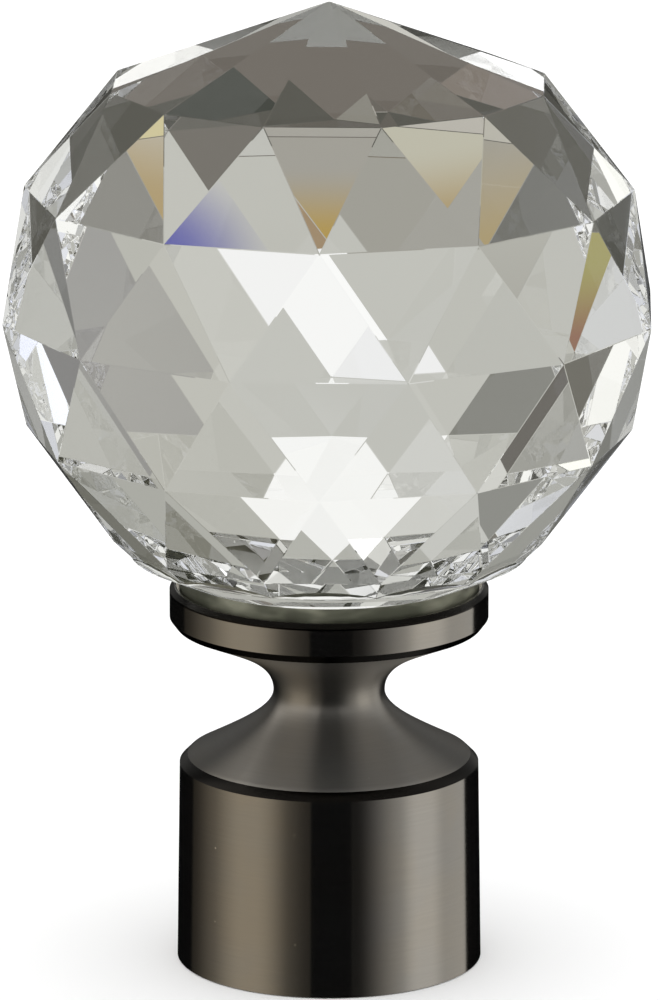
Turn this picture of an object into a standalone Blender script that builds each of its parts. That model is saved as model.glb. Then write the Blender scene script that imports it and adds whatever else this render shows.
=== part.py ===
"""Curtain rod finial: a cut glass ball standing in the collar of a turned metal socket.

The socket slips over the end of a round rod. The finial is modelled upright on the socket's
mouth, in metres, with +Z up, the ball on top, and the origin at the centre of the mouth.
"""

import math

import bmesh
import bpy
from mathutils import Vector

# The rod and the socket that slips over it. The outside narrows a little from the mouth to the shoulder
ROD_DIAMETER = 0.028
ROD_CLEARANCE = 0.00025
MOUTH_WALL = 0.0011
SOCKET_DRAFT = 0.0003
SOCKET_STRAIGHT = 0.0202
END_WALL = 0.0022
SHOULDER_BREAK_WIDTH = 0.0008
SHOULDER_BREAK_HEIGHT = 0.0008

# The neck: a flare up from the shoulder to the narrowest place, then a hollow curve out to the collar
FLARE_HEIGHT = 0.0067
NECK_RADIUS = 0.0056
HOLLOW_HEIGHT = 0.0069

# How both curves bend: their handles, as shares of each curve's width and height from the narrowest place
FLARE_HANDLE_SHARES = ((0.0, 0.31), (0.42, 0.61))
HOLLOW_HANDLE_SHARES = ((0.41, 0.65), (0.0, 0.44))

# The collar, with a shallow round recess for the ball's foot
LIP_WALL = 0.0007
LIP_BREAK_SHARE = 0.64
COLLAR_BAND = 0.0028
COLLAR_UNDER_BREAK_WIDTH = 0.0006
COLLAR_UNDER_BREAK_HEIGHT = 0.0008
COLLAR_FLOOR = 0.0018

# The glass: a ball cut in rings of flat triangles, and the round foot ground on its underside
BALL_RADIUS = 0.0331
FACETS_ROUND = 12
FOOT_RADIUS = 0.0150
FOOT_SHOWING = 0.00135
FOOT_EDGE_BREAK = 0.0003
GLUE_GAP = 0.0003

# Rings of facet corners above the equator, with how far out they lie as shares of the ball's radius
RING_LATITUDES_DEGREES = (22.0, 46.0)
RING_SHARES = (0.986, 0.956)
POLE_SHARE = 0.936

# Below the lowest ring, steep facets run down to a round edge, and a ground cone runs in to the foot
SKIRT_DROP = 0.0020
SKIRT_END_SHARE = 0.905
GROUND_SHARE = 0.91
GROUND_COVER = 0.00005
UNDERSIDE_HEIGHT = 0.0022
# The turned underside starts inside the ball, this share of the way from the lowest ring to the equator
GROUND_TOP_SHARE = 0.2

TURNED_STEPS = 72
CURVE_STEPS = 9

METAL = {"colour": (0.075, 0.068, 0.062), "metallic": 1.0, "roughness": 0.32, "clear": 0.0}
GLASS = {"colour": (0.97, 0.98, 0.97), "metallic": 0.0, "roughness": 0.0, "clear": 1.0}

# Sizes worked out from those above
bore_radius = ROD_DIAMETER / 2 + ROD_CLEARANCE
bore_depth = SOCKET_STRAIGHT - END_WALL
mouth_radius = bore_radius + MOUTH_WALL
socket_top_radius = mouth_radius - SOCKET_DRAFT
shoulder_z = SOCKET_STRAIGHT + SHOULDER_BREAK_HEIGHT
neck_z = shoulder_z + FLARE_HEIGHT
collar_under_z = neck_z + HOLLOW_HEIGHT
lip_break = LIP_BREAK_SHARE * LIP_WALL
collar_top_z = collar_under_z + COLLAR_UNDER_BREAK_HEIGHT + COLLAR_BAND + lip_break
recess_radius = FOOT_RADIUS + GLUE_GAP
recess_floor_z = collar_under_z + COLLAR_FLOOR
collar_radius = recess_radius + LIP_WALL
foot_bottom_z = recess_floor_z + GLUE_GAP


def clear_scene():
    """Removes whatever the file starts with."""
    for obj in list(bpy.data.objects):
        bpy.data.objects.remove(obj)


def make_material(name, looks):
    """A Principled material with plain values."""
    material = bpy.data.materials.new(name)
    material.use_nodes = True
    shader = material.node_tree.nodes["Principled BSDF"]
    shader.inputs["Base Color"].default_value = (*looks["colour"], 1.0)
    shader.inputs["Metallic"].default_value = looks["metallic"]
    shader.inputs["Roughness"].default_value = looks["roughness"]
    shader.inputs["Transmission Weight"].default_value = looks["clear"]
    return material


def curve_points(start, start_handle, end_handle, end):
    """Points along a cubic curve, from just after its start to its end."""
    points = []
    for step in range(1, CURVE_STEPS + 1):
        t = step / CURVE_STEPS
        weights = ((1 - t) ** 3, 3 * t * (1 - t) ** 2, 3 * t * t * (1 - t), t**3)
        corners = (start, start_handle, end_handle, end)
        points.append(tuple(sum(w * c[k] for w, c in zip(weights, corners)) for k in range(2)))
    return points


def handles(origin, size, shares):
    """A curve's two handles, placed from an origin by shares of a width and a height."""
    return [(origin[0] + across * size[0], origin[1] + up * size[1]) for across, up in shares]


def collar_profile():
    """Radius and height along the recess and the collar, from the axis out and down to the hollow."""
    return [
        (0.0, recess_floor_z),
        (recess_radius, recess_floor_z),
        (recess_radius, collar_top_z),
        (collar_radius - lip_break, collar_top_z),
        (collar_radius, collar_top_z - lip_break),
        (collar_radius, collar_top_z - lip_break - COLLAR_BAND),
        (collar_radius - COLLAR_UNDER_BREAK_WIDTH, collar_under_z),
    ]


def neck_profile(top):
    """The hollow under the collar and the flare below it, down to the shoulder."""
    waist = (NECK_RADIUS, neck_z)
    shoulder = (socket_top_radius - SHOULDER_BREAK_WIDTH, shoulder_z)
    hollow_size = (top[0] - NECK_RADIUS, HOLLOW_HEIGHT)
    flare_size = (shoulder[0] - NECK_RADIUS, -FLARE_HEIGHT)
    hollow = curve_points(top, *handles(waist, hollow_size, HOLLOW_HANDLE_SHARES), waist)
    flare = curve_points(waist, *handles(waist, flare_size, FLARE_HANDLE_SHARES), shoulder)
    return hollow + flare


def socket_profile():
    """The socket's outside, mouth and bore, ending on the axis at the bore's blind end."""
    return [
        (socket_top_radius, SOCKET_STRAIGHT),
        (mouth_radius, 0.0),
        (bore_radius, 0.0),
        (bore_radius, bore_depth),
        (0.0, bore_depth),
    ]


def make_object(name, mesh, material):
    """Links a mesh as a named object with its material."""
    mesh.materials.append(material)
    obj = bpy.data.objects.new(name, mesh)
    bpy.context.scene.collection.objects.link(obj)
    return obj


def turn(name, profile, material):
    """A solid turned about the Z axis from a profile that starts and ends on the axis."""
    mesh = bpy.data.meshes.new(name)
    corners = [(radius, 0.0, height) for radius, height in profile]
    edges = [(i, i + 1) for i in range(len(corners) - 1)]
    mesh.from_pydata(corners, edges, [])
    obj = make_object(name, mesh, material)
    screw = obj.modifiers.new("turned", "SCREW")
    screw.axis = "Z"
    screw.angle = 2 * math.pi
    screw.steps = TURNED_STEPS
    screw.render_steps = TURNED_STEPS
    screw.use_merge_vertices = True
    screw.merge_threshold = 0.00001
    screw.use_smooth_shade = True
    return obj


def ring_corners(radius, height, half_step):
    """One ring of facet corners. half_step turns it by half of a facet."""
    shift = 0.5 if half_step else 0.0
    angles = (2 * math.pi * (i + shift) / FACETS_ROUND for i in range(FACETS_ROUND))
    return [Vector((radius * math.cos(a), radius * math.sin(a), height)) for a in angles]


def ring_levels():
    """Radius of each ring of corners and its height from the ball's centre, from the top down."""
    upper = []
    for latitude, share in zip(RING_LATITUDES_DEGREES, RING_SHARES):
        angle = math.radians(latitude)
        reach = BALL_RADIUS * share
        upper.insert(0, (reach * math.cos(angle), reach * math.sin(angle)))
    lower = [(radius, -height) for radius, height in reversed(upper)]
    return [*upper, (BALL_RADIUS, 0.0), *lower]


def ground_edge():
    """Radius of the round edge under the skirt and its height from the ball's centre."""
    rim_radius, rim_height = ring_levels()[-1]
    return rim_radius * GROUND_SHARE, rim_height - SKIRT_DROP - GROUND_COVER


def ball_centre_z():
    """The centre's height: the ground cone ends on the foot just clear of the collar."""
    edge_height = ground_edge()[1]
    return collar_top_z + FOOT_SHOWING + UNDERSIDE_HEIGHT - edge_height


def ball_rings():
    """The rings of corners from the top down, each turned by half a facet from the one before it."""
    levels = ring_levels()
    centre = ball_centre_z()
    equator = len(RING_SHARES)
    return [
        ring_corners(radius, centre + height, half_step=(i - equator) % 2 == 1)
        for i, (radius, height) in enumerate(levels)
    ]


def skirt_end(last_ring):
    """The ring, just inside the ground edge, where the steep facets under the lowest ring end."""
    share = SKIRT_END_SHARE
    return [Vector((corner.x * share, corner.y * share, corner.z - SKIRT_DROP)) for corner in last_ring]


def cut_ball_mesh():
    """The cut ball alone: a pole, rings of facets, and a flat where the ground underside takes over."""
    shape = bmesh.new()
    pole = shape.verts.new((0.0, 0.0, ball_centre_z() + BALL_RADIUS * POLE_SHARE))
    rings = ball_rings()
    rows = [[shape.verts.new(corner) for corner in ring] for ring in rings]
    end_row = [shape.verts.new(corner) for corner in skirt_end(rings[-1])]
    around = [(i, (i + 1) % FACETS_ROUND) for i in range(FACETS_ROUND)]

    for i, j in around:
        shape.faces.new((pole, rows[0][i], rows[0][j]))
        shape.faces.new((rows[-1][j], rows[-1][i], end_row[i], end_row[j]))

    equator = len(rows) // 2
    for level, (upper, lower) in enumerate(zip(rows, rows[1:])):
        upper_is_turned = (level - equator) % 2 == 1
        for i, j in around:
            if upper_is_turned:
                shape.faces.new((upper[i], lower[i], lower[j]))
                shape.faces.new((upper[i], lower[j], upper[j]))
            else:
                shape.faces.new((upper[i], lower[i], upper[j]))
                shape.faces.new((upper[j], lower[i], lower[j]))

    shape.faces.new(list(reversed(end_row)))
    bmesh.ops.recalc_face_normals(shape, faces=shape.faces)
    mesh = bpy.data.meshes.new("crystal_ball")
    shape.to_mesh(mesh)
    shape.free()
    return mesh


def underside_profile():
    """The ground edge, cone and foot, from a centre inside the ball, out and down to the flat underside."""
    rim_height = ring_levels()[-1][1]
    edge_radius, edge_height = ground_edge()
    edge_z = ball_centre_z() + edge_height
    top_z = ball_centre_z() + (1 - GROUND_TOP_SHARE) * rim_height
    return [
        (0.0, top_z),
        (FOOT_RADIUS, top_z),
        (edge_radius, edge_z + SKIRT_DROP / 2),
        (edge_radius, edge_z),
        (FOOT_RADIUS, edge_z - UNDERSIDE_HEIGHT),
        (FOOT_RADIUS, foot_bottom_z + FOOT_EDGE_BREAK),
        (FOOT_RADIUS - FOOT_EDGE_BREAK, foot_bottom_z),
        (0.0, foot_bottom_z),
    ]


def make_socket():
    """The metal part: collar, neck and socket, turned as one piece."""
    collar = collar_profile()
    profile = collar + neck_profile(collar[-1]) + socket_profile()
    return turn("metal_socket", profile, make_material("black nickel", METAL))


def make_ball():
    """The cut ball with its ground underside and foot, one piece of glass."""
    glass = make_material("clear crystal", GLASS)
    ball = make_object("crystal_ball", cut_ball_mesh(), glass)
    underside = turn("underside guide", underside_profile(), glass)
    underside.hide_render = True
    underside.display_type = "WIRE"
    join = ball.modifiers.new("underside", "BOOLEAN")
    join.operation = "UNION"
    join.solver = "EXACT"
    join.object = underside
    return ball


clear_scene()
make_socket()
make_ball()
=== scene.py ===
import math

import bmesh
import bpy
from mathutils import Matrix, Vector


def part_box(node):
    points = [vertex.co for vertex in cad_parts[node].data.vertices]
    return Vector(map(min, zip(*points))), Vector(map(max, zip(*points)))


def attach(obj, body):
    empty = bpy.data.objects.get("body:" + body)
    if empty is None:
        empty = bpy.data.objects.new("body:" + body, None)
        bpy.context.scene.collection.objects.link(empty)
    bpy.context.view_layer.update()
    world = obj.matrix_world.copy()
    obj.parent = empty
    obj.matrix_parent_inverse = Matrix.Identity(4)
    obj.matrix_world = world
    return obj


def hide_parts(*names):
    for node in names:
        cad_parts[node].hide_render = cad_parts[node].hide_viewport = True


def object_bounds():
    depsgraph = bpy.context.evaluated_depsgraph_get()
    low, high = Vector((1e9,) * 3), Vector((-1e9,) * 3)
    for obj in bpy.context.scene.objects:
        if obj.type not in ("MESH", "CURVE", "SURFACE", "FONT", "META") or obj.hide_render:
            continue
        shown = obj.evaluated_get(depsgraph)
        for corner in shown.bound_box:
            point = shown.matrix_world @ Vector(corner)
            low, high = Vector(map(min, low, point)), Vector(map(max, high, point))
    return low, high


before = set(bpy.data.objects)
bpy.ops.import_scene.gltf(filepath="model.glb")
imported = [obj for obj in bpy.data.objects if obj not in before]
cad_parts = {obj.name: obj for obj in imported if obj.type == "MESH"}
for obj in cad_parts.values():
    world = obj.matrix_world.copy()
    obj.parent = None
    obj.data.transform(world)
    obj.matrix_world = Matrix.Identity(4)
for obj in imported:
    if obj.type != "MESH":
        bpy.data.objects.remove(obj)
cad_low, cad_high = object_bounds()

# The camera, in degrees and metres. It looks at a point on the finial's axis, which stands a hair to the
# left of the picture's middle
CAMERA_AZIMUTH = -13.25
CAMERA_ELEVATION = 14.4
CAMERA_DISTANCE = 0.849
CAMERA_LENS_MM = 305.7
CAMERA_SENSOR_MM = 36.0
CAMERA_CLIP = 0.01
LOOK_HEIGHT = 0.04727
PHOTO_SIZE = (660, 1000)
AXIS_SHIFT_PX = -0.9

# The metal socket, as on the real part: sizes in metres from the mouth up. The handles of its two curves
# are shares of the curve's width and height, measured from the waist
ROD_DIAMETER = 0.028
ROD_CLEARANCE = 0.00025
MOUTH_WALL = 0.0011
SOCKET_DRAFT = 0.0003
SOCKET_STRAIGHT = 0.0202
END_WALL = 0.0022
SHOULDER_BREAK = 0.0008
FLARE_HEIGHT = 0.0067
NECK_RADIUS = 0.0056
HOLLOW_HEIGHT = 0.0069
FLARE_HANDLES = ((0.0, 0.31), (0.42, 0.61))
HOLLOW_HANDLES = ((0.41, 0.65), (0.0, 0.44))
UNDER_BREAK_WIDTH = 0.0006
UNDER_BREAK_HEIGHT = 0.0008
LIP_WALL = 0.0007
LIP_BREAK = 0.00045
COLLAR_FLOOR = 0.0018
TURNED_STEPS = 240
CURVE_STEPS = 32
TURNED_CORNER_ANGLE = math.radians(20.0)

# The cut ball: how far its edges are broken, and how its cut faces are told from the narrow turned ones
FACET_BREAK = 0.00005
FACET_LEAST_AREA = 0.00001
FLAT_ANGLE = math.radians(1.0)

# How near two corners are to be one, and how far past a seam a height is read
WELD_DISTANCE = 0.000002
SEAM = 0.00002

# The round floor, a hair below the finial
FLOOR_RADIUS = 3.0
FLOOR_SIDES = 96
FLOOR_DROP = 0.0001
FLOOR_TONES = ((0.89, 0.89, 0.89, 1.0), (0.91, 0.91, 0.91, 1.0))
FLOOR_PATCH_SCALE = 9.0
FLOOR_ROUGHNESS = 0.9
FLOOR_SHINE = 0.1

# The crystal: its refractive index is that of plain crown glass, read from where the back facets show
CRYSTAL_COLOUR = (0.99, 0.995, 0.988, 1.0)
CRYSTAL_INDEX = 1.516
POLISH_RIPPLE_SCALE = 55.0
POLISH_RIPPLE_DEPTH = 0.000002

# The foot's ground glass, drawn opaque: how much of it shows over the collar, how far it stands off the
# recess's floor, two tones round its side with the noise that blends them, a painted shade with painted
# glints for the dark metal and glue seen through the glass, and the glue under it, painted pale as painted
# light
FOOT_SHOWING = 0.00135
FOOT_GAP = 0.0003
FOOT_PAINTED_DARK = (0.075, 0.078, 0.055, 1.0)
FOOT_PAINTED_LIGHTER = (0.24, 0.24, 0.18, 1.0)
FOOT_GLUE_PAINTED_LIGHT = (0.78, 0.78, 0.76, 1.0)
FOOT_MOTTLE = (170.0, 170.0, 420.0)
FOOT_BLEND = (0.4, 0.68)
FOOT_ROUGHNESS = 0.4

# The black nickel: its colours, with the recess under the glass painted bright, as painted light that the
# crystal's facets show
METAL_COOL = (0.292, 0.286, 0.278, 1.0)
METAL_WARM = (0.302, 0.288, 0.268, 1.0)
METAL_STREAK = (0.22, 0.213, 0.204, 1.0)
METAL_SPECK = (0.62, 0.60, 0.56, 1.0)
# The polished edges' colour: painted near black, a painted dark reflection of the dark round them that they
# mirror
POLISHED_PAINTED_BLACK = (0.012, 0.011, 0.01, 1.0)
# The recess's colour: painted bright, a painted light that the facets above show through the glass
RECESS_PAINTED_BRIGHT = (0.86, 0.85, 0.82, 1.0)

# How the metal spreads light: across the brushing, more on the satin neck, and least on the polished edges,
# of which the lip's has a height of its own
BRUSHED_STRETCH = 1.0
BRUSHED_TURN = 0.25
BRUSHED_ROUGHNESS = (0.12, 0.15)
SATIN_ROUGHNESS = 0.3
POLISHED_ROUGHNESS = 0.12
POLISHED_LIP = 0.00062

# The brushing's rings, the clouds of warmer tone, and the specks. A range is where noise blends one look
# into the other
BRUSH_COARSE = (90.0, 90.0, 5200.0)
BRUSH_FINE = (260.0, 260.0, 16000.0)
BRUSH_RANGE = (0.3, 0.7)
BRUSH_DEPTH = 0.0000015
STREAK_RANGE = (0.35, 0.65)
STREAK_STRENGTH = 0.15
CLOUD_SCALE = 120.0
CLOUD_RANGE = (0.35, 0.65)
SPECK_SCALE = 900.0
SPECK_EDGE = (0.07, 0.13)
SPECK_SHARE = 0.02

# Bounces enough for light to cross the crystal many times
LIGHT_BOUNCES = 128


def camera_directions():
    """The camera's backward direction, the same without its slope, and its rightward direction."""
    azimuth = math.radians(CAMERA_AZIMUTH)
    elevation = math.radians(CAMERA_ELEVATION)
    level = Vector((math.sin(azimuth), -math.cos(azimuth), 0.0))
    back = level * math.cos(elevation) + Vector((0.0, 0.0, math.sin(elevation)))
    right = Vector((math.cos(azimuth), math.sin(azimuth), 0.0))
    return back, level, right


def make_camera():
    """The camera at the photograph's viewing angle."""
    back, _, _ = camera_directions()
    data = bpy.data.cameras.new("camera")
    data.lens = CAMERA_LENS_MM
    data.sensor_width = CAMERA_SENSOR_MM
    data.shift_x = -AXIS_SHIFT_PX / PHOTO_SIZE[1]
    data.clip_start = CAMERA_CLIP
    camera = bpy.data.objects.new("camera", data)
    camera.location = Vector((0.0, 0.0, LOOK_HEIGHT)) + back * CAMERA_DISTANCE
    camera.rotation_mode = "QUATERNION"
    camera.rotation_quaternion = (-back).to_track_quat("-Z", "Y")
    bpy.context.scene.collection.objects.link(camera)
    bpy.context.scene.camera = camera


class Tree:
    """Short calls for building a node tree."""

    def __init__(self, tree):
        self.tree = tree

    def add(self, kind, inputs=(), **settings):
        """A new node. inputs pairs socket names or numbers with values or other sockets."""
        node = self.tree.nodes.new(kind)
        for name, value in settings.items():
            setattr(node, name, value)
        for key, value in dict(inputs).items():
            if isinstance(value, bpy.types.NodeSocket):
                self.tree.links.new(value, node.inputs[key])
            else:
                node.inputs[key].default_value = value
        return node

    def maths(self, operation, *values):
        """The result of a maths node."""
        return self.add("ShaderNodeMath", dict(enumerate(values)), operation=operation).outputs[0]

    def ramp(self, value, low, high, to_low=0.0, to_high=1.0):
        """A smooth step of a value from one end to the other."""
        inputs = {"Value": value, "From Min": low, "From Max": high, "To Min": to_low, "To Max": to_high}
        return self.add("ShaderNodeMapRange", inputs, interpolation_type="SMOOTHSTEP").outputs[0]

    def noise(self, vector, scale, detail=2.0):
        """Smooth noise from zero to one."""
        inputs = {"Vector": vector, "Scale": scale, "Detail": detail}
        return self.add("ShaderNodeTexNoise", inputs).outputs[0]

    def scaled(self, vector, scales):
        """A vector scaled along each axis."""
        return self.add("ShaderNodeVectorMath", {0: vector, 1: scales}, operation="MULTIPLY").outputs[0]

    def mix(self, share, start, end):
        """A colour between two others."""
        return self.add("ShaderNodeMix", {0: share, 6: start, 7: end}, data_type="RGBA").outputs[2]

    def put(self, shader, name, value):
        """Links a socket to one of the shader's inputs."""
        self.tree.links.new(value, shader.inputs[name])

    def dot(self, vector, direction):
        """The part of a vector along a direction."""
        node = self.add("ShaderNodeVectorMath", {0: vector, 1: tuple(direction)}, operation="DOT_PRODUCT")
        return node.outputs["Value"]


def new_material(name):
    """A material whose shader is returned with it."""
    material = bpy.data.materials.new(name)
    material.use_nodes = True
    return material, Tree(material.node_tree), material.node_tree.nodes["Principled BSDF"]


def crystal_material():
    """Clear polished crystal: see-through, with the faintest ripple left by polishing."""
    material, tree, shader = new_material("clear_crystal")
    shader.inputs["Base Color"].default_value = CRYSTAL_COLOUR
    shader.inputs["IOR"].default_value = CRYSTAL_INDEX
    shader.inputs["Transmission Weight"].default_value = 1.0
    shader.inputs["Roughness"].default_value = 0.0
    place = tree.add("ShaderNodeTexCoord").outputs["Object"]
    ripple = tree.noise(place, POLISH_RIPPLE_SCALE, detail=1.0)
    settings = {"Height": ripple, "Strength": 1.0, "Distance": POLISH_RIPPLE_DEPTH}
    tree.put(shader, "Normal", tree.add("ShaderNodeBump", settings).outputs[0])
    return material


def foot_material():
    """The foot's ground glass, drawn opaque: its side in a mottled painted shade for the dark metal and the
    clear glue that holds it, seen through the glass, and its underside painted pale as painted light.
    """
    material, tree, shader = new_material("foot_painted_shade_and_light")
    place = tree.add("ShaderNodeTexCoord").outputs["Object"]
    height = tree.add("ShaderNodeSeparateXYZ", {0: place}).outputs[2]
    mottle = tree.noise(tree.scaled(place, FOOT_MOTTLE), 1.0)
    # Painted shade: two dark tones, mottled, for the dark metal and glue that the glass foot shows round
    # its side
    side = tree.mix(tree.ramp(mottle, *FOOT_BLEND), FOOT_PAINTED_DARK, FOOT_PAINTED_LIGHTER)
    underside = tree.maths("LESS_THAN", height, recess_size()[0] + FOOT_GAP + SEAM)
    # Painted light: the glue under the foot is painted pale, for the light that the top facets show through
    # the ball
    tree.put(shader, "Base Color", tree.mix(underside, side, FOOT_GLUE_PAINTED_LIGHT))
    shader.inputs["Roughness"].default_value = FOOT_ROUGHNESS
    return material


def bands(tree, height, ranges):
    """One where the height lies in any of some ranges, zero elsewhere."""
    total = 0.0
    for low, high in ranges:
        above = tree.maths("GREATER_THAN", height, low)
        below = tree.maths("LESS_THAN", height, high)
        total = tree.maths("MAXIMUM", tree.maths("MULTIPLY", above, below), total)
    return total


def recess_mask(tree, place, height):
    """One in the recess under the ball's foot, which is painted bright as painted light, zero elsewhere."""
    flat = tree.scaled(place, (1.0, 1.0, 0.0))
    away = tree.add("ShaderNodeVectorMath", {0: flat}, operation="LENGTH").outputs["Value"]
    floor, reach = recess_size()
    inside = tree.maths("LESS_THAN", away, reach + SEAM)
    return tree.maths("MULTIPLY", inside, tree.maths("GREATER_THAN", height, floor - SEAM))


def metal_material():
    """Black nickel: collar and sleeve finely brushed, satin neck, polished edges painted near black as a
    painted dark reflection, small specks, and a recess painted bright as painted light.
    """
    material, tree, shader = new_material("black_nickel")
    shader.inputs["Metallic"].default_value = 1.0
    shader.inputs["Anisotropic"].default_value = BRUSHED_STRETCH
    shader.inputs["Anisotropic Rotation"].default_value = BRUSHED_TURN
    tangent = tree.add("ShaderNodeTangent", direction_type="RADIAL", axis="Z").outputs[0]
    tree.put(shader, "Tangent", tangent)
    place = tree.add("ShaderNodeTexCoord").outputs["Object"]
    height = tree.add("ShaderNodeSeparateXYZ", {0: place}).outputs[2]
    polished_and_painted_black = bands(tree, height, polished_heights())
    satin = bands(tree, height, [satin_heights()])

    # Fine rings left by the brushing, broken up round the axis
    coarse = tree.noise(tree.scaled(place, BRUSH_COARSE), 1.0)
    fine = tree.noise(tree.scaled(place, BRUSH_FINE), 1.0)
    brushing = tree.maths("ADD", tree.maths("MULTIPLY", coarse, 0.5), tree.maths("MULTIPLY", fine, 0.5))
    clouds = tree.noise(place, CLOUD_SCALE, detail=3.0)

    # Specks, as dots round scattered points
    cells = tree.add("ShaderNodeTexVoronoi", {"Vector": place, "Scale": SPECK_SCALE})
    chosen = tree.add("ShaderNodeSeparateColor", {0: cells.outputs["Color"]}).outputs[0]
    dots = tree.ramp(cells.outputs["Distance"], *SPECK_EDGE, 1.0, 0.0)
    specks = tree.maths("MULTIPLY", dots, tree.maths("GREATER_THAN", chosen, 1 - SPECK_SHARE))

    warm = tree.mix(tree.ramp(clouds, *CLOUD_RANGE), METAL_COOL, METAL_WARM)
    streaks = tree.ramp(brushing, *STREAK_RANGE, 0.0, STREAK_STRENGTH)
    streaked = tree.mix(streaks, warm, METAL_STREAK)
    specked = tree.mix(specks, streaked, METAL_SPECK)
    # Painted dark reflection: the polished edges are painted near black, for the dark that they mirror
    with_painted_black_edges = tree.mix(polished_and_painted_black, specked, POLISHED_PAINTED_BLACK)
    # Painted light: the recess under the glass is painted bright, for the light that the facets above show
    # through it
    tree.put(shader, "Base Color", tree.mix(recess_mask(tree, place, height), with_painted_black_edges, RECESS_PAINTED_BRIGHT))

    brushed = tree.ramp(brushing, *BRUSH_RANGE, *BRUSHED_ROUGHNESS)
    softer = tree.add("ShaderNodeMix", {0: satin, 2: brushed, 3: SATIN_ROUGHNESS}).outputs[0]
    rough = tree.add("ShaderNodeMix", {0: polished_and_painted_black, 2: softer, 3: POLISHED_ROUGHNESS}).outputs[0]
    tree.put(shader, "Roughness", rough)
    depth = tree.maths("MULTIPLY", brushing, tree.maths("SUBTRACT", 1.0, polished_and_painted_black))
    settings = {"Height": depth, "Strength": 1.0, "Distance": BRUSH_DEPTH}
    tree.put(shader, "Normal", tree.add("ShaderNodeBump", settings).outputs[0])
    return material


def floor_material():
    """Plain pale floor with the faintest unevenness."""
    material, tree, shader = new_material("pale_floor")
    place = tree.add("ShaderNodeTexCoord").outputs["Object"]
    patches = tree.noise(place, FLOOR_PATCH_SCALE)
    tree.put(shader, "Base Color", tree.mix(patches, *FLOOR_TONES))
    shader.inputs["Roughness"].default_value = FLOOR_ROUGHNESS
    shader.inputs["Specular IOR Level"].default_value = FLOOR_SHINE
    return material


def link(name, mesh, material):
    """A mesh as a named object with its material."""
    mesh.materials.append(material)
    piece = bpy.data.objects.new(name, mesh)
    bpy.context.scene.collection.objects.link(piece)
    return piece


def make_floor():
    """A wide floor under the finial, which neither the glass nor the metal shows."""
    mesh = bpy.data.meshes.new("floor")
    shape = bmesh.new()
    bmesh.ops.create_circle(shape, cap_ends=True, segments=FLOOR_SIDES, radius=FLOOR_RADIUS)
    bmesh.ops.translate(shape, verts=shape.verts, vec=(0.0, 0.0, cad_low.z - FLOOR_DROP))
    shape.to_mesh(mesh)
    shape.free()
    floor = link("floor", mesh, floor_material())
    floor.visible_glossy = False
    floor.visible_transmission = False


def is_cut(face):
    """Whether a face is a cut facet or the flat underside, and not a narrow one of the turned foot."""
    return face.calc_area() > FACET_LEAST_AREA


def make_crystal():
    """The cut ball: the solid's own facets with every edge broken by a hair, and its round foot."""
    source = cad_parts["crystal_ball"].data
    shape = bmesh.new()
    shape.from_mesh(source)
    bmesh.ops.remove_doubles(shape, verts=shape.verts, dist=WELD_DISTANCE)
    bmesh.ops.dissolve_limit(shape, angle_limit=FLAT_ANGLE, verts=shape.verts, edges=shape.edges)
    foot_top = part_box("metal_socket")[1].z + FOOT_SHOWING + SEAM
    for face in shape.faces:
        face.smooth = not is_cut(face)
        # The foot's faces take the foot's material, with its painted shade and painted light
        face.material_index = int(max(v.co.z for v in face.verts) < foot_top)
    cut_edges = [e for e in shape.edges if all(is_cut(f) for f in e.link_faces)]
    bmesh.ops.bevel(
        shape, geom=cut_edges, offset=FACET_BREAK, segments=1, affect="EDGES", clamp_overlap=True
    )
    mesh = bpy.data.meshes.new("crystal_ball_cut")
    smooth = [face.smooth for face in shape.faces]
    shape.to_mesh(mesh)
    shape.free()
    # Marking the sharp edges makes every face smooth, so the facets are set flat again
    mesh.set_sharp_from_angle(angle=TURNED_CORNER_ANGLE)
    mesh.polygons.foreach_set("use_smooth", smooth)
    ball = link("crystal_ball_cut", mesh, crystal_material())
    mesh.materials.append(foot_material())
    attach(ball, "root")
    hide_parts("crystal_ball")


def curve_points(start, start_handle, end_handle, end):
    """Points along a cubic curve, from just after its start to its end."""
    points = []
    corners = (start, start_handle, end_handle, end)
    for step in range(1, CURVE_STEPS + 1):
        t = step / CURVE_STEPS
        weights = ((1 - t) ** 3, 3 * t * (1 - t) ** 2, 3 * t * t * (1 - t), t**3)
        points.append(tuple(sum(w * c[k] for w, c in zip(weights, corners)) for k in range(2)))
    return points


def handles(origin, size, shares):
    """A curve's two handles, placed from an origin by shares of a width and a height."""
    return [(origin[0] + across * size[0], origin[1] + up * size[1]) for across, up in shares]


def polished_heights():
    """The lowest and highest places of each polished edge: shoulder, collar's lower edge and lip."""
    base = cad_low.z
    shoulder = base + SOCKET_STRAIGHT
    under = shoulder + SHOULDER_BREAK + FLARE_HEIGHT + HOLLOW_HEIGHT
    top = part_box("metal_socket")[1].z
    return (
        (shoulder, shoulder + SHOULDER_BREAK),
        (under, under + UNDER_BREAK_HEIGHT),
        (top - POLISHED_LIP, top),
    )


def satin_heights():
    """The lowest and highest places of the neck."""
    shoulder, under, _ = polished_heights()
    return shoulder[1], under[0]


def recess_size():
    """The height of the recess's floor, and its radius."""
    under = polished_heights()[1][0]
    return under + COLLAR_FLOOR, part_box("metal_socket")[1].x - LIP_WALL


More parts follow.
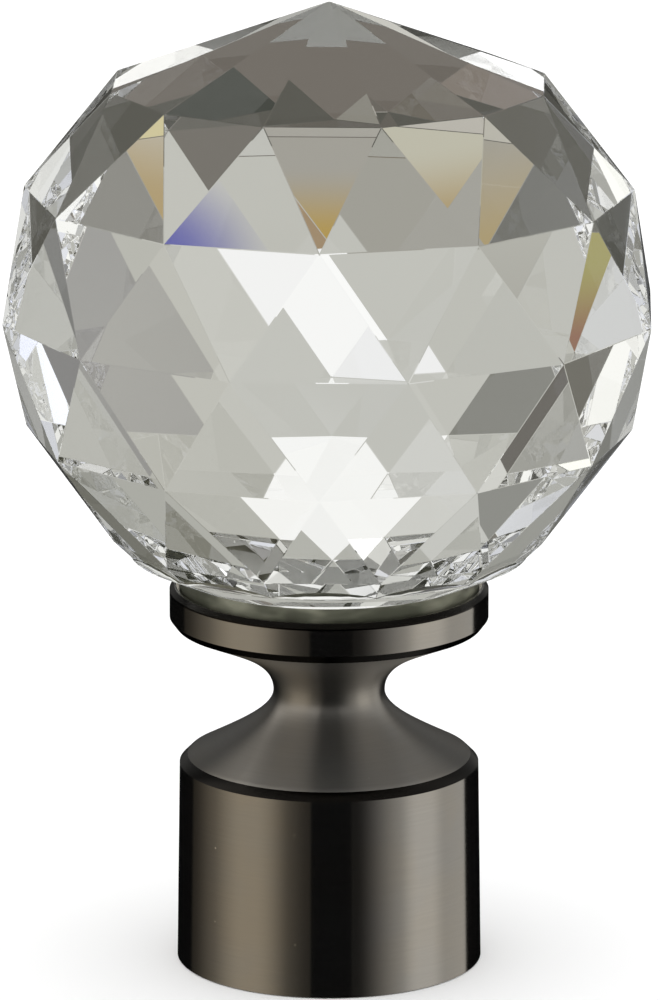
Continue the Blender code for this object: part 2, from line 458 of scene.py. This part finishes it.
def socket_profile():
    """Radius and height of the whole metal part, from the recess's centre round to the bore's end."""
    base = cad_low.z
    bore = ROD_DIAMETER / 2 + ROD_CLEARANCE
    mouth = bore + MOUTH_WALL
    top_radius = mouth - SOCKET_DRAFT
    collar, _, collar_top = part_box("metal_socket")[1]
    recess_floor, recess = recess_size()
    waist = (NECK_RADIUS, base + SOCKET_STRAIGHT + SHOULDER_BREAK + FLARE_HEIGHT)
    under = (collar - UNDER_BREAK_WIDTH, waist[1] + HOLLOW_HEIGHT)
    shoulder = (top_radius - SHOULDER_BREAK, base + SOCKET_STRAIGHT + SHOULDER_BREAK)
    hollow_size = (under[0] - NECK_RADIUS, HOLLOW_HEIGHT)
    flare_size = (shoulder[0] - NECK_RADIUS, -FLARE_HEIGHT)
    bore_end = base + SOCKET_STRAIGHT - END_WALL
    return [
        (0.0, recess_floor),
        (recess, recess_floor),
        (recess, collar_top),
        (collar - LIP_BREAK, collar_top),
        (collar, collar_top - LIP_BREAK),
        (collar, under[1] + UNDER_BREAK_HEIGHT),
        under,
        *curve_points(under, *handles(waist, hollow_size, HOLLOW_HANDLES), waist),
        *curve_points(waist, *handles(waist, flare_size, FLARE_HANDLES), shoulder),
        (top_radius, base + SOCKET_STRAIGHT),
        (mouth, base),
        (bore, base),
        (bore, bore_end),
        (0.0, bore_end),
    ]


def make_socket():
    """The metal part, turned finely from its profile."""
    shape = bmesh.new()
    profile = [shape.verts.new((radius, 0.0, height)) for radius, height in socket_profile()]
    edges = [shape.edges.new(pair) for pair in zip(profile, profile[1:])]
    bmesh.ops.spin(
        shape,
        geom=profile + edges,
        axis=(0.0, 0.0, 1.0),
        cent=(0.0, 0.0, 0.0),
        steps=TURNED_STEPS,
        angle=2 * math.pi,
        use_merge=True,
    )
    bmesh.ops.remove_doubles(shape, verts=shape.verts, dist=WELD_DISTANCE)
    bmesh.ops.recalc_face_normals(shape, faces=shape.faces)
    for face in shape.faces:
        face.smooth = True
    mesh = bpy.data.meshes.new("metal_socket_turned")
    shape.to_mesh(mesh)
    shape.free()
    mesh.set_sharp_from_angle(angle=TURNED_CORNER_ANGLE)
    socket = link("metal_socket_turned", mesh, metal_material())
    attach(socket, "root")
    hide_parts("metal_socket")


# The studio as the crystal sees it. Each card lies over those before it: where its middle is (degrees round
# from the camera, with 180 behind the finial, and degrees above level), how far it reaches each way from
# there, how soft its edge is, and the tone that it shows as, from 0 to 255 with more for a brighter light.
# Most tones were read from the photo, each off a facet that looks at the card. Both lists are one shader:
# these are 78 cards, and with 86 the whole picture came out black
GLASS_STUDIO = (
    # The room and the two big side lights
    {"at": (180, 0), "half": (400, 200), "soft": 0.1, "tone": (175, 175, 169)},
    {"at": (65, -2), "half": (50, 60), "soft": 0.08, "tone": (243, 243, 239)},
    {"at": (295, 0), "half": (48, 58), "soft": 0.08, "tone": (222, 224, 231)},
    # Bars across the side lights, which give the ball its contrast from the sides and the back
    {"at": (83, 0), "half": (7, 62), "soft": 0.15, "tone": (146, 146, 141)},
    {"at": (68, 37), "half": (34, 6), "soft": 0.25, "tone": (158, 158, 153)},
    {"at": (72, -36), "half": (30, 6), "soft": 0.25, "tone": (140, 139, 133)},
    {"at": (275, 0), "half": (7, 60), "soft": 0.15, "tone": (150, 151, 154)},
    {"at": (306, 40), "half": (32, 6), "soft": 0.25, "tone": (150, 150, 150)},
    # The backdrop, paler in its middle and to one side
    {"at": (180, 5), "half": (44, 42), "soft": 0.4, "tone": (176, 176, 169)},
    {"at": (180, -6), "half": (17, 16), "round": True, "soft": 0.5, "tone": (188, 188, 182)},
    {"at": (198, 15), "half": (6, 11), "soft": 0.3, "tone": (200, 200, 195)},
    # Uneven places on the backdrop, most of them greyer
    {"at": (144, -3), "half": (13, 12), "round": True, "soft": 0.4, "tone": (137, 136, 135)},
    {"at": (141, 31), "half": (18, 9), "soft": 0.2, "tone": (133, 132, 122)},
    {"at": (197, -25), "half": (14, 5.5), "soft": 0.25, "tone": (149, 147, 139)},
    {"at": (184, -30), "half": (9, 2.2), "soft": 0.3, "tone": (153, 150, 142)},
    {"at": (222, 13), "half": (8, 7), "round": True, "soft": 0.4, "tone": (143, 143, 137)},
    {"at": (236, -4), "half": (8, 7), "round": True, "soft": 0.3, "tone": (188, 189, 187)},
    {"at": (207, 15.4), "half": (2.2, 1.5), "soft": 0.2, "tone": (143, 143, 138)},
    # Dark flags behind at one side, and low at both sides
    {"at": (205.5, 2), "half": (3, 1.8), "soft": 0.2, "tone": (116, 116, 109)},
    {"at": (207.6, 3), "half": (1.4, 1.2), "soft": 0.1, "tone": (81, 78, 73)},
    {"at": (220, -2.5), "half": (3, 2.5), "soft": 0.3, "tone": (69, 68, 59)},
    {"at": (131, -28), "half": (19, 10), "soft": 0.2, "tone": (90, 89, 82)},
    {"at": (234, -28), "half": (24, 11), "soft": 0.25, "tone": (84, 84, 78)},
    # The dark table top with its far edge and some spots, and the light straight below
    {"at": (180, -48.5), "half": (72, 18), "soft": 0.012, "tone": (76, 75, 68)},
    {"at": (180, -33.5), "half": (17, 2.9), "soft": 0.03, "tone": (90, 86, 79)},
    {"at": (181, -55), "half": (52, 9), "soft": 0.2, "tone": (107, 101, 94)},
    {"at": (204, -45), "half": (4, 3), "soft": 0.3, "tone": (103, 98, 89)},
    {"at": (157.5, -46), "half": (4, 3), "round": True, "soft": 0.3, "tone": (58, 61, 55)},
    {"at": (172.4, -38), "half": (1.5, 1.5), "round": True, "soft": 0.3, "tone": (180, 180, 174)},
    {"at": (180.6, -41.5), "half": (2, 1.5), "round": True, "soft": 0.3, "tone": (160, 157, 149)},
    {"at": (198, -43.8), "half": (1.2, 1.2), "round": True, "soft": 0.3, "tone": (178, 174, 165)},
    {"at": (180, -79), "half": (400, 14), "soft": 0.1, "tone": (205, 205, 200)},
    # The bright glow behind the ball, and the tall window above it
    {"at": (180, -13), "half": (13, 6), "tilt": 30, "round": True, "soft": 0.25, "tone": (233, 233, 233)},
    {"at": (180, -13), "half": (6, 5), "tilt": 30, "round": True, "soft": 0.4, "tone": (244, 244, 243)},
    {"at": (180, 11.5), "half": (11, 8.5), "soft": 0.08, "tone": (242, 242, 240)},
    {"at": (178, 32), "half": (4.5, 12.5), "soft": 0.1, "tone": (244, 244, 242)},
    # Small reflectors and shades that single facets pick out
    {"at": (171.1, 29), "half": (2, 2.5), "round": True, "soft": 0.2, "tone": (250, 250, 249)},
    {"at": (189.2, 29), "half": (2, 2.5), "round": True, "soft": 0.2, "tone": (243, 243, 240)},
    {"at": (175.7, 41.6), "half": (2.5, 2), "round": True, "soft": 0.3, "tone": (290, 290, 290)},
    {"at": (140.2, -14.2), "half": (3, 2.5), "round": True, "soft": 0.4, "tone": (122, 122, 120)},
    {"at": (221.6, -49.4), "half": (5, 4), "round": True, "soft": 0.4, "tone": (126, 117, 108)},
    {"at": (295.5, -25.8), "half": (4, 4), "round": True, "soft": 0.4, "tone": (280, 286, 316)},
    {"at": (146.4, -23.5), "half": (5, 4), "soft": 0.4, "tone": (110, 109, 103)},
    {"at": (129.4, 29.8), "half": (5, 5), "round": True, "soft": 0.5, "tone": (160, 160, 152)},
    {"at": (188.5, -37.6), "half": (2, 1.3), "round": True, "soft": 0.3, "tone": (153, 152, 144)},
    {"at": (209.4, -42.1), "half": (1.6, 1.6), "round": True, "soft": 0.3, "tone": (178, 175, 164)},
    {"at": (151.3, -42.9), "half": (0.9, 0.9), "round": True, "soft": 0.3, "tone": (196, 186, 140)},
    {"at": (192.1, -44.2), "half": (1.8, 1.2), "round": True, "soft": 0.3, "tone": (130, 127, 117)},
    {"at": (207.1, -64), "half": (3, 2.5), "round": True, "soft": 0.3, "tone": (228, 226, 218)},
    {"at": (101, -56.7), "half": (4, 3), "round": True, "soft": 0.4, "tone": (314, 313, 310)},
    {"at": (119, -35.5), "half": (2, 2), "round": True, "soft": 0.4, "tone": (290, 291, 280)},
    {"at": (264, -52.6), "half": (4, 3), "round": True, "soft": 0.4, "tone": (345, 345, 345)},
    {"at": (302, -11), "half": (5, 5), "round": True, "soft": 0.4, "tone": (286, 292, 312)},
    {"at": (331, 4.6), "half": (3, 3), "round": True, "soft": 0.4, "tone": (270, 270, 264)},
    {"at": (342, 3), "half": (3, 3), "round": True, "soft": 0.4, "tone": (305, 306, 308)},
    # Tinted glints, where the real crystal splits the light at these edges
    {"at": (180.3, -30.5), "half": (1.6, 0.28), "soft": 0.9, "tone": (168, 140, 66)},
    {"at": (171.7, -24.8), "half": (0.8, 0.6), "round": True, "soft": 0.6, "tone": (150, 128, 98)},
    {"at": (195, -31.2), "half": (5, 0.75), "soft": 0.3, "tone": (180, 177, 160)},
    {"at": (195, -31.9), "half": (5, 0.3), "soft": 0.9, "tone": (160, 138, 92)},
    {"at": (204.2, -30.3), "half": (2.5, 0.6), "soft": 0.9, "tone": (160, 140, 92)},
    {"at": (155.9, -30.6), "half": (2.5, 0.5), "soft": 0.9, "tone": (158, 136, 88)},
    {"at": (165.6, -21.7), "half": (0.7, 0.5), "round": True, "soft": 0.6, "tone": (66, 68, 150)},
    {"at": (219, -14.1), "half": (0.9, 0.8), "soft": 0.4, "tone": (146, 140, 76)},
    {"at": (218.6, -14.5), "half": (0.7, 0.35), "soft": 0.9, "tone": (124, 72, 58)},
)

# The studio as the metal's and the crystal's surfaces mirror it
MIRROR_STUDIO = (
    # The dark room, the ceiling, and the light at the right in three layers
    {"at": (180, 0), "half": (400, 200), "soft": 0.1, "tone": (3, 3, 3)},
    {"at": (180, 80), "half": (400, 16), "soft": 0.3, "tone": (150, 149, 146)},
    {"at": (72.5, 0), "half": (55.5, 62), "soft": 0.01, "tone": (38, 37, 34)},
    {"at": (98, 0), "half": (52, 62), "soft": 0.5, "tone": (235, 231, 222)},
    {"at": (78, 0), "half": (14, 62), "soft": 0.6, "tone": (272, 267, 256)},
    # The warmer light at the left, in three layers
    {"at": (288.5, 0), "half": (57.5, 62), "soft": 0.01, "tone": (64, 60, 52)},
    {"at": (290, 0), "half": (36, 62), "soft": 0.6, "tone": (162, 153, 136)},
    {"at": (295, 0), "half": (20, 62), "soft": 0.75, "tone": (222, 209, 186)},
    # The dark behind the finial, with the backdrop's light over it
    {"at": (179.5, -38), "half": (51.5, 38), "soft": 0.015, "tone": (2, 2, 2)},
    {"at": (180, 34), "half": (50, 34), "soft": 0.4, "tone": (112, 111, 108)},
    # Higher up, where the satin neck mirrors it most: brighter sides and a dim front
    {"at": (72.5, 48), "half": (54, 34), "soft": 0.2, "tone": (228, 226, 221)},
    {"at": (287.5, 48), "half": (54, 34), "soft": 0.2, "tone": (290, 286, 278)},
    {"at": (0, 48), "half": (18, 30), "soft": 0.3, "tone": (195, 194, 190)},
    {"at": (360, 48), "half": (18, 30), "soft": 0.3, "tone": (195, 194, 190)},
)

# The share of light that crosses the crystal's two surfaces, and how bright the white surround is
GLASS_SHARE = 0.91
SURROUND_LIGHT = 1.4


def linear(tone):
    """A tone as the light that shows it, by the usual curve of a screen."""
    share = tone / 255
    return ((share + 0.055) / 1.055) ** 2.4 if share > 0.04045 else share / 12.92


def studio_light(tree, place, cards, share):
    """The light of a list of cards in one direction, made up for what the surface doesn't let through."""
    total = (0.0, 0.0, 0.0, 1.0)
    for card in cards:
        reach = (*card["half"], 1.0)
        turn = (0.0, 0.0, math.radians(card.get("tilt", 0.0)))
        settings = {"Vector": place, "Location": (*card["at"], 0.0), "Rotation": turn, "Scale": reach}
        offset = tree.add("ShaderNodeMapping", settings, vector_type="TEXTURE").outputs[0]
        if card.get("round"):
            away = tree.add("ShaderNodeVectorMath", {0: offset}, operation="LENGTH").outputs["Value"]
        else:
            sides = tree.add("ShaderNodeVectorMath", {0: offset}, operation="ABSOLUTE").outputs[0]
            parts = tree.add("ShaderNodeSeparateXYZ", {0: sides}).outputs
            away = tree.maths("MAXIMUM", parts[0], parts[1])
        mask = tree.ramp(away, 1 - card["soft"], 1 + card["soft"], 1.0, 0.0)
        light = (*(linear(tone) / share for tone in card["tone"]), 1.0)
        inputs = {"Factor": mask, 6: total, 7: light}
        total = tree.add("ShaderNodeMix", inputs, data_type="RGBA").outputs[2]
    return total


def make_world():
    """The studio: cards seen through the glass, cards that it and the metal mirror, and white elsewhere."""
    world = bpy.data.worlds.new("studio")
    world.use_nodes = True
    bpy.context.scene.world = world
    tree = Tree(world.node_tree)
    tree.tree.nodes.clear()
    _, level, right = camera_directions()
    direction = tree.add("ShaderNodeTexCoord").outputs["Generated"]
    across = tree.dot(direction, right)
    behind = tree.dot(direction, -level)
    height = tree.dot(direction, (0.0, 0.0, 1.0))
    # The turn is zero behind the finial, so that 180 is added to start it at the camera
    turn = tree.maths("DEGREES", tree.maths("ARCTAN2", tree.maths("MULTIPLY", across, -1.0), behind))
    bearing = tree.maths("ADD", turn, 180.0)
    up = tree.maths("DEGREES", tree.maths("ARCSINE", height))
    place = tree.add("ShaderNodeCombineXYZ", {0: bearing, 1: up}).outputs[0]
    through = studio_light(tree, place, GLASS_STUDIO, GLASS_SHARE)
    mirrored = studio_light(tree, place, MIRROR_STUDIO, 1.0)
    path = tree.add("ShaderNodeLightPath")
    white = (SURROUND_LIGHT, SURROUND_LIGHT, SURROUND_LIGHT, 1.0)
    shown = tree.add("ShaderNodeBackground", {"Color": white}).outputs[0]
    for ray, light in (("Is Glossy Ray", mirrored), ("Is Transmission Ray", through)):
        other = tree.add("ShaderNodeBackground", {"Color": light}).outputs[0]
        shown = tree.add("ShaderNodeMixShader", {0: path.outputs[ray], 1: shown, 2: other}).outputs[0]
    tree.add("ShaderNodeOutputWorld", {"Surface": shown})


def set_light_paths():
    """How far light is followed, and plain tones in the picture."""
    cycles = bpy.context.scene.cycles
    cycles.max_bounces = LIGHT_BOUNCES
    cycles.transmission_bounces = LIGHT_BOUNCES
    cycles.glossy_bounces = LIGHT_BOUNCES
    cycles.caustics_reflective = True
    cycles.caustics_refractive = True
    view = bpy.context.scene.view_settings
    view.view_transform = "Standard"
    view.look = "None"


make_camera()
make_world()
make_floor()
make_crystal()
make_socket()
set_light_paths()
